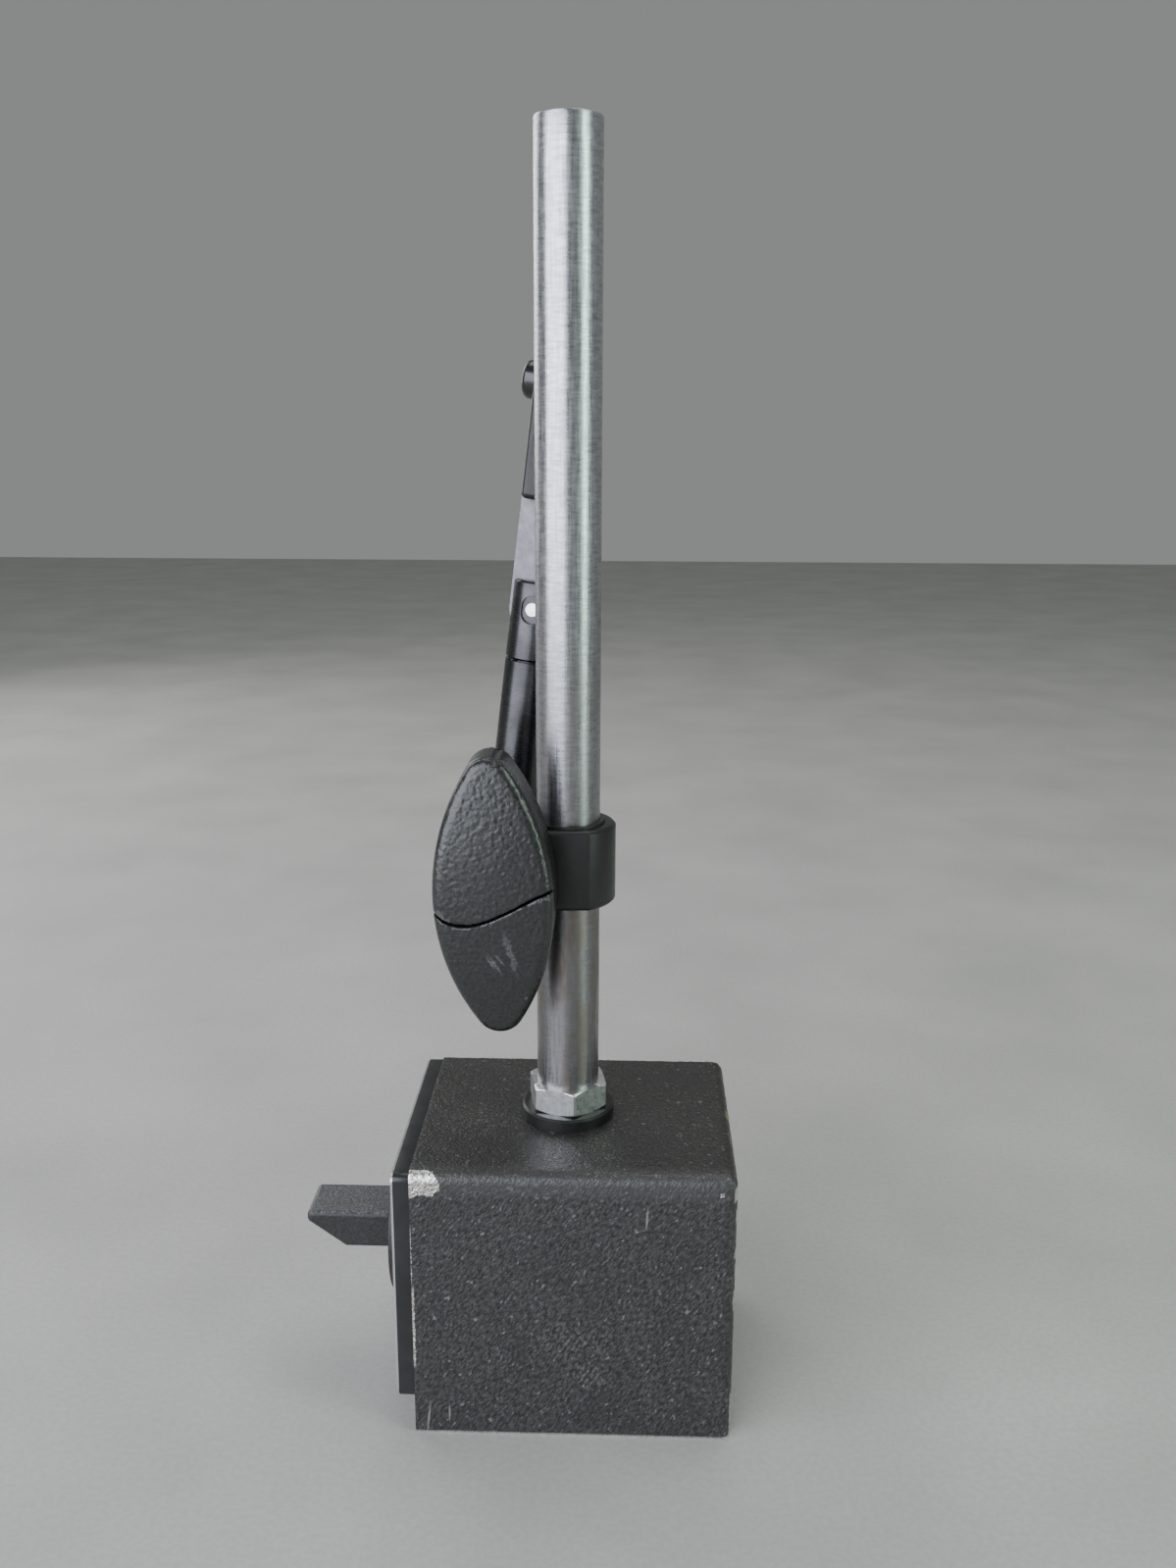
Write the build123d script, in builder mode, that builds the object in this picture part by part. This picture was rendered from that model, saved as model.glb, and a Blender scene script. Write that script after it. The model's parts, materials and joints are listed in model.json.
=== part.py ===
from build123d import *
import os
from math import cos, radians, sin, sqrt, tan

# Magnetic stand with a one-knob holder arm, in millimetres.
# The origin is the middle of the block's footprint: X runs along the block and the magnet's
# switch, Y runs back through the two steel poles, and Z runs up the post.

os.makedirs("parts", exist_ok=True)

# Block: two steel poles with a brass spacer between them
BLOCK_LENGTH = 60.0
BLOCK_WIDTH = 50.0
BLOCK_HEIGHT = 55.0
SPACER = 3.0
BLOCK_EDGE = 2.0
VEE_DEPTH = 7.0
FOOT_CHAMFER = 0.5
BORE_Z = 31.0
BORE_R = 15.0
HALF_LENGTH = BLOCK_LENGTH / 2
HALF_WIDTH = BLOCK_WIDTH / 2
HALF_SPACER = SPACER / 2

# End plate, label and screws on the left end
PLATE = 3.0
PLATE_HEIGHT = 46.8
PLATE_CORNER = 1.5
LABEL = 0.4
LABEL_MARGIN = 0.3
SCREW_R = 1.5
SCREW_HEAD_R = 3.0
SCREW_DEPTH = 8.0
SCREW_PITCH_Y = 40.0
SCREW_PITCH_Z = 36.0
SCREW_SLOT = 0.8
PLATE_FACE = -HALF_LENGTH - PLATE
LABEL_FACE = PLATE_FACE - LABEL

# Magnet rotor, its bushes and its stop
RUNNING = 0.05
SHAFT_R = 4.0
BUSH_R = 6.0
BUSH_FLANGE_R = 9.0
BUSH_FLANGE = 1.5
PLUG = 3.8
PLUG_FLOOR = 1.0
ROTOR_R = 14.7
CAP_R = 14.0
CAP = 4.0
ROTOR_START = -28.2
MAGNET_START = ROTOR_START + CAP
MAGNET_END = 21.8
END_CAP = 3.6
JOURNAL_END = 28.8
MAGNET_THICKNESS = 10.0
MAGNET_HEIGHT = 27.0
ROTOR_RIVET_R = 1.25
ROTOR_RIVET_Y = 9.5
ROTOR_RIVET_START = -25.9
STOP_R = 1.5
STOP_RADIUS = 11.5
STOP_SEAT = 2.0
STOP_LENGTH = 5.6
STOP_GROOVE = 2.2
STOP_GROOVE_R = 9.7
STOP_SLACK = 9.5
SWITCH_TURN = 90.0

# Switch knob
DISC_R = 14.0
DISC = 2.6
DISC_GAP = 0.3
DISC_FACE = LABEL_FACE - DISC_GAP - DISC
NECK = 0.7
GRIP_START = DISC_FACE - NECK
GRIP_END = -54.0
GRIP_WIDTH = 11.4
GRIP_HEIGHT = 7.6
GRIP_BEVEL_X = 7.6
GRIP_BEVEL_Z = 5.6
GRIP_EDGE = 0.9
SHAFT_STEP = -34.6
SPIGOT_R = 2.5
SPIGOT_END = -46.0
KNOB_PIN_X = -42.0
KNOB_PIN_R = 1.0
KNOB_PIN_LENGTH = 6.7

# Post, nut and washer
POST_X = -2.0
POST_R = 6.0
POST_TOP = 237.1
POST_CHAMFER = 0.4
STUD_R = 4.0
STUD_DEPTH = 7.5
WASHER_R = 9.0
WASHER = 2.5
WASHER_EDGE = 0.4
NUT_ACROSS = 14.0
NUT = 5.0
NUT_TURN = 41.0
NUT_CROWN_ANGLE = 30.0
NUT_TOP = BLOCK_HEIGHT + WASHER + NUT

# Liner and collar round the post
LINER_R = 6.8
LINER_START = 99.4
LINER_LENGTH = 16.1
LINER_SLIT = 1.6
COLLAR_R = 9.0
COLLAR_BORE_R = LINER_R + RUNNING
COLLAR_START = 99.7
COLLAR_HEIGHT = 15.3
COLLAR_EDGE = 0.6
LUG_HALF = 8.0
LUG_END = -22.0
LUG_CORNER = 3.0
COLLAR_SLIT = 2.0

# Clamp bolt, along Y
BOLT_X = -14.5
BOLT_Z = 105.2
BOLT_R = 3.0
BOLT_TIP_Y = -15.5
BOLT_HEAD = 4.0
BOLT_HEAD_ACROSS = 10.0
THRUST_WASHER = 1.0
THRUST_WASHER_R = 6.5
FRICTION_DISC = 0.6
FRICTION_DISC_R = 7.5
SIDE_GAP = 0.1

# Lock knob: a pointed oval bounded by two large arcs, with a crowned front
KNOB_HALF_WIDTH = 10.85
KNOB_SIDE_R = 43.5
KNOB_TIP_R = 4.5
KNOB_THICKNESS = 11.4
KNOB_CROWN_R = 130.0
KNOB_RIM = 2.0
KNOB_LEAN = 2.2
KNOB_CAP_FROM = 8.2
SEAM_REACH = 12.0
SEAM_LEFT = 0.2
SEAM_DIP = (-5.6, -3.9)
SEAM_RISE = (1.2, -2.2)
SEAM_RIGHT = 2.2
SEAM_GAP = 0.5
INSERT_R = 5.0
INSERT = 6.8

# Holder arm, leaning to the right behind the post
ARM_LEAN = 7.0
HUB_R = 8.0
HUB_THICKNESS = 10.8
TUBE_R = 5.0
TUBE_BORE_R = 2.4
TUBE_START = 13.0
TUBE_END = 38.3
SPIGOT_TOP = 23.0
ROD_R = 1.2
ROD_BORE_R = 1.3
ROD_START = 3.4
ROD_END = 38.5
BALL_R = 2.1
BALL_AT = 40.7
NECK_R = 4.0
NECK_END = 41.6
GROOVE_R = 3.2
GROOVE_START = 39.1
GROOVE_END = 40.7

# Swivelling fork at the end of the tube
FORK_TURN = -10.0
FORK_START = 38.6
FORK_FLOOR = 41.8
FORK_SLOT_START = 43.0
FORK_END = 53.8
FORK_SLOT = 4.1
FORK_EDGE = 0.4
BALL_HOLE_R = 2.45
KEEPER_R = 0.5
KEEPER_AT = 39.9
KEEPER_INNER = 3.5
PIN_AT = 48.5
PIN_R = 1.25
PIN_LENGTH = 8.6
RECESS_LENGTH = 5.4
RECESS_WIDTH = 4.0
RECESS_FLOOR = 4.0

# Link and gauge clamp
LINK = 4.0
LINK_WIDTH = 10.0
LINK_END = 74.3
CLAMP_START = 68.8
CLAMP_END = 93.3
CLAMP_LEFT = -4.6
CLAMP_RIGHT = 6.0
CLAMP_THICKNESS = 10.0
CLAMP_CORNER = 1.0
CLAMP_MIDDLE = (CLAMP_LEFT + CLAMP_RIGHT) / 2
GAUGE_BORE_R = 4.0
GAUGE_BORE_AT = 79.8
GAUGE_SLIT = 1.4
LINK_RIVET_R = 0.8
LINK_RIVET_PITCH = 2.6
LINK_RIVET_AT = 71.8
GAUGE_SCREW_AT = 90.2
GAUGE_SCREW_R = 2.0
GAUGE_SCREW_TIP = 5.6
GAUGE_HEAD_R = 3.5
GAUGE_HEAD = 2.7
GAUGE_HEAD_EDGE = 1.3
SOCKET_ACROSS = 2.5
SOCKET_DEPTH = 1.4

ON_TOP = (Align.CENTER, Align.CENTER, Align.MIN)
BELOW = (Align.CENTER, Align.CENTER, Align.MAX)

# The collar's front is the lug's front face, and the knob turns on a washer in front of it.
KNOB_BACK_Y = -LUG_HALF - THRUST_WASHER
ARM_Y = LUG_HALF + FRICTION_DISC + SIDE_GAP + HUB_THICKNESS / 2
HUB_BACK_Y = ARM_Y + HUB_THICKNESS / 2

# Arm's own axes: t across to the right, Y to the back, and s up along the arm
ARM_T = Vector(cos(radians(ARM_LEAN)), 0, -sin(radians(ARM_LEAN)))
ARM_S = Vector(sin(radians(ARM_LEAN)), 0, cos(radians(ARM_LEAN)))
ARM_ORIGIN = Vector(BOLT_X, ARM_Y, BOLT_Z)
# The fork and all beyond it are turned a little about the arm
HEAD_T = ARM_T * cos(radians(FORK_TURN)) + Vector(0, sin(radians(FORK_TURN)), 0)
HEAD_Y = ARM_T * -sin(radians(FORK_TURN)) + Vector(0, cos(radians(FORK_TURN)), 0)


def keep(builder, name):
    """Label a finished piece and write its STEP file."""
    builder.part.label = name
    export_step(builder.part, f"parts/{name}.step")


def across(x):
    """Plane across the rotor's axis that faces +X: its own axes are Y and Z."""
    return Plane(origin=(x, 0, BORE_Z), x_dir=(0, 1, 0), z_dir=(1, 0, 0))


def facing_left(x):
    """Plane across the rotor's axis that faces -X."""
    return Plane(origin=(x, 0, BORE_Z), x_dir=(0, -1, 0), z_dir=(-1, 0, 0))


def on_post(z):
    """Level plane centred on the post."""
    return Plane(origin=(POST_X, 0, z), z_dir=(0, 0, 1))


def on_bolt(y):
    """Plane across the clamp bolt that faces the front."""
    return Plane(origin=(BOLT_X, y, BOLT_Z), x_dir=(1, 0, 0), z_dir=(0, -1, 0))


def on_knob(depth):
    """Plane across the lock knob, in front of its back face by the given depth."""
    lean = radians(KNOB_LEAN)
    origin = (BOLT_X, KNOB_BACK_Y - depth, BOLT_Z)
    return Plane(origin=origin, x_dir=(cos(lean), 0, sin(lean)), z_dir=(0, -1, 0))


def on_arm(s):
    """Plane across the arm, facing its tip."""
    return Plane(origin=ARM_ORIGIN + ARM_S * s, x_dir=ARM_T, z_dir=ARM_S)


def arm_side(y):
    """Plane along the arm that faces the front: its own axes are t and s."""
    return Plane(origin=ARM_ORIGIN + Vector(0, y, 0), x_dir=ARM_T, z_dir=(0, -1, 0))


def head_side(y):
    """Plane along the turned fork, link and gauge clamp: its own axes are t and s."""
    return Plane(origin=ARM_ORIGIN + HEAD_Y * y, x_dir=HEAD_T, z_dir=HEAD_Y * -1)


def head_edge(t, s):
    """Plane that faces left along the gauge screw."""
    return Plane(origin=ARM_ORIGIN + HEAD_T * t + ARM_S * s, x_dir=HEAD_Y, z_dir=HEAD_T * -1)


def ring(plane, length, outer, inner=0.0):
    """Add a ring that starts on the plane, or a disc if it has no inner radius."""
    with BuildSketch(plane) as profile:
        Circle(outer)
        if inner:
            Circle(inner, mode=Mode.SUBTRACT)
    extrude(profile.sketch, amount=length)


def drill(plane, length, radius, points=((0, 0),)):
    """Cut round holes that start on the plane and run along its normal."""
    with BuildSketch(plane) as profile:
        with Locations(*points):
            Circle(radius)
    extrude(profile.sketch, amount=length, mode=Mode.SUBTRACT)


# Poles: each half of the block, with its side of the rotor bore and of the V-groove
for name, side in (("front_pole", -1), ("rear_pole", 1)):
    with BuildPart() as pole:
        with BuildSketch(Plane.YZ):
            with BuildLine():
                Polyline(
                    (side * HALF_SPACER, VEE_DEPTH - HALF_SPACER),
                    (side * VEE_DEPTH, 0),
                    (side * HALF_WIDTH, 0),
                    (side * HALF_WIDTH, BLOCK_HEIGHT),
                    (side * HALF_SPACER, BLOCK_HEIGHT),
                    close=True,
                )
            make_face()
        extrude(amount=HALF_LENGTH, both=True)
        outer_side = pole.faces().sort_by(Axis.Y)[0 if side < 0 else -1]
        end = pole.faces().sort_by(Axis.X)[-1]
        rounded = [
            outer_side.edges().filter_by(Axis.X).sort_by(Axis.Z)[-1],
            outer_side.edges().filter_by(Axis.Z).sort_by(Axis.X)[-1],
            end.edges().filter_by(Axis.Y).sort_by(Axis.Z)[-1],
        ]
        fillet(rounded, BLOCK_EDGE)
        foot = pole.faces().sort_by(Axis.Z)[0].edges().filter_by(Axis.X)
        chamfer(foot.sort_by(Axis.Y)[0 if side < 0 else -1], FOOT_CHAMFER)
        drill(across(-HALF_LENGTH), BLOCK_LENGTH, BORE_R)
        drill(on_post(BLOCK_HEIGHT - STUD_DEPTH), STUD_DEPTH, STUD_R)
        with Locations(facing_left(-HALF_LENGTH)):
            with GridLocations(SCREW_PITCH_Y, SCREW_PITCH_Z, 2, 2):
                Hole(SCREW_R, depth=SCREW_DEPTH)
    keep(pole, name)

# Spacers: brass strips above and below the rotor bore
with BuildPart() as top_spacer:
    with BuildSketch(Plane.XZ.offset(-HALF_SPACER)):
        with Locations((0, BORE_Z)):
            Rectangle(BLOCK_LENGTH, BLOCK_HEIGHT - BORE_Z, align=(Align.CENTER, Align.MIN))
    extrude(amount=SPACER)
    top_edges = top_spacer.edges().filter_by(Axis.Y).group_by(Axis.Z)[-1]
    fillet(top_edges.sort_by(Axis.X)[-1], BLOCK_EDGE)
    drill(across(-HALF_LENGTH), BLOCK_LENGTH, BORE_R)
    drill(on_post(BLOCK_HEIGHT - STUD_DEPTH), STUD_DEPTH, STUD_R)
keep(top_spacer, "top_spacer")

with BuildPart() as bottom_spacer:
    with BuildSketch(Plane.XZ.offset(-HALF_SPACER)):
        with Locations((0, VEE_DEPTH)):
            Rectangle(BLOCK_LENGTH, BORE_Z - VEE_DEPTH, align=(Align.CENTER, Align.MIN))
    extrude(amount=SPACER)
    drill(across(-HALF_LENGTH), BLOCK_LENGTH, BORE_R)
keep(bottom_spacer, "bottom_spacer")

# End plate, with countersunk holes, the bush's seat and a blind hole for the stop pin
with BuildPart() as end_plate:
    with BuildSketch(across(PLATE_FACE)):
        RectangleRounded(BLOCK_WIDTH, PLATE_HEIGHT, PLATE_CORNER)
    extrude(amount=PLATE)
    drill(across(PLATE_FACE), PLATE, BUSH_R)
    drill(across(-HALF_LENGTH - STOP_SEAT), STOP_SEAT, STOP_R, [(0, STOP_RADIUS)])
    with Locations(facing_left(PLATE_FACE)):
        with GridLocations(SCREW_PITCH_Y, SCREW_PITCH_Z, 2, 2):
            CounterSinkHole(SCREW_R, SCREW_HEAD_R, PLATE, 90)
keep(end_plate, "end_plate")

# Label: a thin blank sheet over the end plate
with BuildPart() as label_plate:
    with BuildSketch(across(LABEL_FACE)):
        RectangleRounded(BLOCK_WIDTH - 2 * LABEL_MARGIN, PLATE_HEIGHT - 2 * LABEL_MARGIN, PLATE_CORNER)
        Circle(BUSH_R, mode=Mode.SUBTRACT)
        with GridLocations(SCREW_PITCH_Y, SCREW_PITCH_Z, 2, 2):
            Circle(SCREW_HEAD_R, mode=Mode.SUBTRACT)
    extrude(amount=LABEL)
keep(label_plate, "label_plate")

# Plate screws: four slotted countersunk screws, flush with the label
with BuildPart() as plate_screws:
    with Locations(facing_left(PLATE_FACE)):
        with GridLocations(SCREW_PITCH_Y, SCREW_PITCH_Z, 2, 2):
            Cylinder(SCREW_HEAD_R, LABEL, align=ON_TOP)
            Cone(SCREW_R, SCREW_HEAD_R, SCREW_HEAD_R - SCREW_R, align=BELOW)
            Cylinder(SCREW_R, PLATE + SCREW_DEPTH, align=BELOW)
    with Locations(facing_left(LABEL_FACE)):
        with GridLocations(SCREW_PITCH_Y, SCREW_PITCH_Z, 2, 2):
            Box(2 * SCREW_HEAD_R, SCREW_SLOT, SCREW_SLOT, align=BELOW, mode=Mode.SUBTRACT)
keep(plate_screws, "plate_screws")

# Shaft bushes, the rear one in a plug that closes the bore, and the pin that limits the turn
with BuildPart() as front_bush:
    ring(across(PLATE_FACE), PLATE, BUSH_R, SHAFT_R + RUNNING)
    ring(across(-HALF_LENGTH), BUSH_FLANGE, BUSH_FLANGE_R, SHAFT_R + RUNNING)
keep(front_bush, "front_bush")

with BuildPart() as bore_plug:
    ring(across(HALF_LENGTH - PLUG), PLUG, BORE_R)
    drill(across(HALF_LENGTH - PLUG), PLUG - PLUG_FLOOR, BUSH_R)
keep(bore_plug, "bore_plug")

with BuildPart() as rear_bush:
    ring(across(HALF_LENGTH - PLUG), PLUG - PLUG_FLOOR, BUSH_R, SHAFT_R + RUNNING)
keep(rear_bush, "rear_bush")

with BuildPart() as stop_pin:
    with Locations(across(-HALF_LENGTH - STOP_SEAT)):
        with Locations((0, STOP_RADIUS)):
            Cylinder(STOP_R, STOP_LENGTH, align=ON_TOP)
keep(stop_pin, "stop_pin")

# Rotor shaft with its flange, whose arc groove meets the stop pin at each end of the turn
with BuildPart() as rotor_shaft:
    ring(across(ROTOR_START), CAP, CAP_R)
    ring(across(SHAFT_STEP), ROTOR_START - SHAFT_STEP, SHAFT_R)
    ring(across(SPIGOT_END), SHAFT_STEP - SPIGOT_END, SPIGOT_R)
    with BuildSketch(across(ROTOR_START)):
        with BuildLine():
            corners = [radians(a) for a in (-STOP_SLACK, SWITCH_TURN / 2, SWITCH_TURN + STOP_SLACK)]
            Polyline((0, 0), *[(2 * CAP_R * cos(a), 2 * CAP_R * sin(a)) for a in corners], close=True)
        make_face()
        Circle(STOP_GROOVE_R, mode=Mode.SUBTRACT)
    extrude(amount=STOP_GROOVE, mode=Mode.SUBTRACT)
    rivet_points = [(-ROTOR_RIVET_Y, 0), (ROTOR_RIVET_Y, 0)]
    drill(across(ROTOR_RIVET_START), MAGNET_START - ROTOR_RIVET_START, ROTOR_RIVET_R, rivet_points)
    with Locations((KNOB_PIN_X, 0, BORE_Z + SPIGOT_R)):
        Hole(KNOB_PIN_R, depth=2 * SPIGOT_R)
keep(rotor_shaft, "rotor_shaft")

# Magnet slab and the two pole shoes that round it off
with BuildPart() as rotor_magnet:
    with BuildSketch(across(MAGNET_START)):
        Rectangle(MAGNET_THICKNESS, MAGNET_HEIGHT)
    extrude(amount=MAGNET_END - MAGNET_START)
keep(rotor_magnet, "rotor_magnet")

for name, side in (("front_shoe", -1), ("rear_shoe", 1)):
    with BuildPart() as shoe:
        with BuildSketch(across(MAGNET_START)):
            Circle(ROTOR_R)
            with Locations((side * (MAGNET_THICKNESS / 2 + ROTOR_R), 0)):
                Rectangle(2 * ROTOR_R, 2 * ROTOR_R, mode=Mode.INTERSECT)
            with Locations((side * ROTOR_RIVET_Y, 0)):
                Circle(ROTOR_RIVET_R, mode=Mode.SUBTRACT)
        extrude(amount=MAGNET_END - MAGNET_START)
    keep(shoe, name)

with BuildPart() as rotor_end_cap:
    ring(across(MAGNET_END), END_CAP, CAP_R)
    ring(across(MAGNET_END), JOURNAL_END - MAGNET_END, SHAFT_R)
    drill(across(MAGNET_END), END_CAP, ROTOR_RIVET_R, rivet_points)
keep(rotor_end_cap, "rotor_end_cap")

with BuildPart() as rotor_rivets:
    with Locations(across(ROTOR_RIVET_START)):
        with Locations(*rivet_points):
            Cylinder(ROTOR_RIVET_R, MAGNET_END + END_CAP - ROTOR_RIVET_START, align=ON_TOP)
keep(rotor_rivets, "rotor_rivets")

# Switch knob: a thin disc and a stubby grip bevelled underneath, pinned to the shaft from below
with BuildPart() as switch_knob:
    with BuildSketch(Plane.XZ.offset(-GRIP_WIDTH / 2)):
        with BuildLine():
            Polyline(
                (GRIP_START, BORE_Z + GRIP_HEIGHT / 2),
                (GRIP_END, BORE_Z + GRIP_HEIGHT / 2),
                (GRIP_END, BORE_Z - GRIP_HEIGHT / 2 + GRIP_BEVEL_Z),
                (GRIP_END + GRIP_BEVEL_X, BORE_Z - GRIP_HEIGHT / 2),
                (GRIP_START, BORE_Z - GRIP_HEIGHT / 2),
                close=True,
            )
        make_face()
    extrude(amount=GRIP_WIDTH)
    fillet(switch_knob.edges(), GRIP_EDGE)
    ring(across(DISC_FACE), DISC, DISC_R)
    ring(across(GRIP_START - GRIP_EDGE), NECK + GRIP_EDGE, GRIP_HEIGHT / 2)
    drill(across(SHAFT_STEP), LABEL_FACE - SHAFT_STEP, SHAFT_R)
    drill(across(SPIGOT_END), SHAFT_STEP - SPIGOT_END, SPIGOT_R)
    with Locations((KNOB_PIN_X, 0, BORE_Z - GRIP_HEIGHT / 2)):
        Cylinder(KNOB_PIN_R, KNOB_PIN_LENGTH, align=ON_TOP, mode=Mode.SUBTRACT)
keep(switch_knob, "switch_knob")

with BuildPart() as knob_pin:
    with Locations((KNOB_PIN_X, 0, BORE_Z - GRIP_HEIGHT / 2 + SIDE_GAP)):
        Cylinder(KNOB_PIN_R, KNOB_PIN_LENGTH - SIDE_GAP, align=ON_TOP)
keep(knob_pin, "knob_pin")

# Washer, nut and post, whose stud is screwed into the top of the block
with BuildPart() as base_washer:
    ring(on_post(BLOCK_HEIGHT), WASHER, WASHER_R, STUD_R)
    rims = base_washer.edges().filter_by(GeomType.CIRCLE).group_by(Axis.Z)[-1]
    chamfer(rims.sort_by(SortBy.RADIUS)[-1], WASHER_EDGE)
keep(base_washer, "base_washer")

with BuildPart() as lock_nut:
    with BuildSketch(on_post(NUT_TOP - NUT)):
        RegularPolygon(NUT_ACROSS / 2, 6, major_radius=False, rotation=NUT_TURN)
        Circle(STUD_R, mode=Mode.SUBTRACT)
    extrude(amount=NUT)
    with Locations(on_post(NUT_TOP - NUT)):
        wide_r = NUT_ACROSS / 2 + NUT / tan(radians(NUT_CROWN_ANGLE))
        Cone(wide_r, NUT_ACROSS / 2, NUT, align=ON_TOP, mode=Mode.INTERSECT)
        Cone(NUT_ACROSS / 2, wide_r, NUT, align=ON_TOP, mode=Mode.INTERSECT)
keep(lock_nut, "lock_nut")

with BuildPart() as post:
    ring(on_post(BLOCK_HEIGHT - STUD_DEPTH), NUT_TOP - BLOCK_HEIGHT + STUD_DEPTH, STUD_R)
    ring(on_post(NUT_TOP), POST_TOP - NUT_TOP, POST_R)
    chamfer(post.edges().filter_by(GeomType.CIRCLE).sort_by(Axis.Z)[-1], POST_CHAMFER)
keep(post, "post")

# Liner: a thin split sleeve that slides on the post
with BuildPart() as clamp_liner:
    ring(on_post(LINER_START), LINER_LENGTH, LINER_R, POST_R + RUNNING)
    with Locations((POST_X - LINER_R, 0, LINER_START)):
        Box(2 * LINER_SLIT, LINER_SLIT, LINER_LENGTH, align=ON_TOP, mode=Mode.SUBTRACT)
keep(clamp_liner, "clamp_liner")

# Collar: a ring with a flat front and back, and two ears that the bolt pulls together
with BuildPart() as clamp_collar:
    with BuildSketch(on_post(COLLAR_START)) as outline:
        Circle(COLLAR_R)
        Rectangle(POST_X - LUG_END, 2 * LUG_HALF, align=(Align.MAX, Align.CENTER))
        Rectangle(4 * COLLAR_R, 2 * LUG_HALF, mode=Mode.INTERSECT)
        Rectangle(POST_X - LUG_END, 2 * LUG_HALF, align=(Align.MAX, Align.CENTER))
        fillet(outline.vertices().group_by(Axis.X)[0], LUG_CORNER)
    extrude(amount=COLLAR_HEIGHT)
    rims = clamp_collar.edges().group_by(Axis.Z)
    chamfer(rims[0] + rims[-1], COLLAR_EDGE)
    drill(on_post(COLLAR_START), COLLAR_HEIGHT, COLLAR_BORE_R)
    with Locations((POST_X, 0, COLLAR_START)):
        slit_align = (Align.MAX, Align.CENTER, Align.MIN)
        Box(POST_X - LUG_END, COLLAR_SLIT, COLLAR_HEIGHT, align=slit_align, mode=Mode.SUBTRACT)
    drill(on_bolt(LUG_HALF), 2 * LUG_HALF, BOLT_R)
keep(clamp_collar, "clamp_collar")

# Clamp bolt, its washer under the knob and the friction disc under the arm's hub
with BuildPart() as clamp_bolt:
    ring(on_bolt(HUB_BACK_Y + SIDE_GAP), HUB_BACK_Y + SIDE_GAP - BOLT_TIP_Y, BOLT_R)
    with BuildSketch(on_bolt(HUB_BACK_Y + SIDE_GAP + BOLT_HEAD)):
        RegularPolygon(BOLT_HEAD_ACROSS / 2, 6, major_radius=False)
    extrude(amount=BOLT_HEAD)
keep(clamp_bolt, "clamp_bolt")

with BuildPart() as thrust_washer:
    ring(on_bolt(-LUG_HALF), THRUST_WASHER, THRUST_WASHER_R, BOLT_R)
keep(thrust_washer, "thrust_washer")

with BuildPart() as friction_disc:
    ring(on_bolt(LUG_HALF + FRICTION_DISC), FRICTION_DISC, FRICTION_DISC_R, BOLT_R)
keep(friction_disc, "friction_disc")


def knob_blank():
    """Solid of the whole lock knob before the cap is parted from the body."""
    reach = sqrt(KNOB_SIDE_R**2 - (KNOB_SIDE_R - KNOB_HALF_WIDTH) ** 2)
    with BuildPart() as blank:
        with BuildSketch(on_knob(0)) as oval:
            with BuildLine():
                ThreePointArc((0, -reach), (KNOB_HALF_WIDTH, 0), (0, reach))
                ThreePointArc((0, reach), (-KNOB_HALF_WIDTH, 0), (0, -reach))
            make_face()
            fillet(oval.vertices(), KNOB_TIP_R)
        extrude(amount=KNOB_THICKNESS)
        with Locations(on_knob(KNOB_THICKNESS - KNOB_CROWN_R)):
            Sphere(KNOB_CROWN_R, rotation=(90, 0, 0), mode=Mode.INTERSECT)
        fillet(blank.faces().sort_by(Axis.Y)[0].edges(), KNOB_RIM)
    return blank.part


def above_seam(shift):
    """Prism of the cap's layer, bounded below by the curved seam moved down by the shift."""
    seam = [(-SEAM_REACH, SEAM_LEFT), SEAM_DIP, SEAM_RISE, (SEAM_REACH, SEAM_RIGHT)]
    with BuildPart() as layer:
        with BuildSketch(on_knob(KNOB_CAP_FROM)):
            with BuildLine(mode=Mode.PRIVATE) as edge:
                Spline(*seam)
                Polyline(seam[-1], (SEAM_REACH, KNOB_SIDE_R), (-SEAM_REACH, KNOB_SIDE_R), seam[0])
            with Locations((0, -shift)):
                add(make_face(edge.line.edges(), mode=Mode.PRIVATE))
        extrude(amount=KNOB_THICKNESS)
    return layer.part


# Lock knob: the moulded body, the cap let into its front, and the threaded insert
with BuildPart() as lock_knob:
    add(knob_blank())
    add(above_seam(SEAM_GAP), mode=Mode.SUBTRACT)
    drill(on_knob(0), INSERT, INSERT_R)
keep(lock_knob, "lock_knob")

with BuildPart() as knob_cap:
    add(knob_blank())
    add(above_seam(0), mode=Mode.INTERSECT)
keep(knob_cap, "knob_cap")

with BuildPart() as knob_insert:
    ring(on_knob(0), INSERT, INSERT_R, BOLT_R + RUNNING)
keep(knob_insert, "knob_insert")

# Arm: hub on the bolt, tube, and the rod and ball that lock the joint at the tip
with BuildPart() as arm_hub:
    ring(arm_side(HUB_THICKNESS / 2), HUB_THICKNESS, HUB_R)
    ring(on_arm(0), TUBE_START, TUBE_R)
    ring(on_arm(TUBE_START), SPIGOT_TOP - TUBE_START, TUBE_BORE_R)
    drill(on_arm(0), SPIGOT_TOP, ROD_BORE_R)
    drill(arm_side(HUB_THICKNESS / 2), HUB_THICKNESS, BOLT_R + RUNNING)
keep(arm_hub, "arm_hub")

with BuildPart() as arm_tube:
    ring(on_arm(TUBE_START), TUBE_END - TUBE_START, TUBE_R, TUBE_BORE_R)
    ring(on_arm(TUBE_END), GROOVE_START - TUBE_END, NECK_R, TUBE_BORE_R)
    ring(on_arm(GROOVE_START), GROOVE_END - GROOVE_START, GROOVE_R, TUBE_BORE_R)
    ring(on_arm(GROOVE_END), NECK_END - GROOVE_END, NECK_R, TUBE_BORE_R)
keep(arm_tube, "arm_tube")

with BuildPart() as push_rod:
    ring(on_arm(ROD_START), ROD_END - ROD_START, ROD_R)
keep(push_rod, "push_rod")

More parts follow.
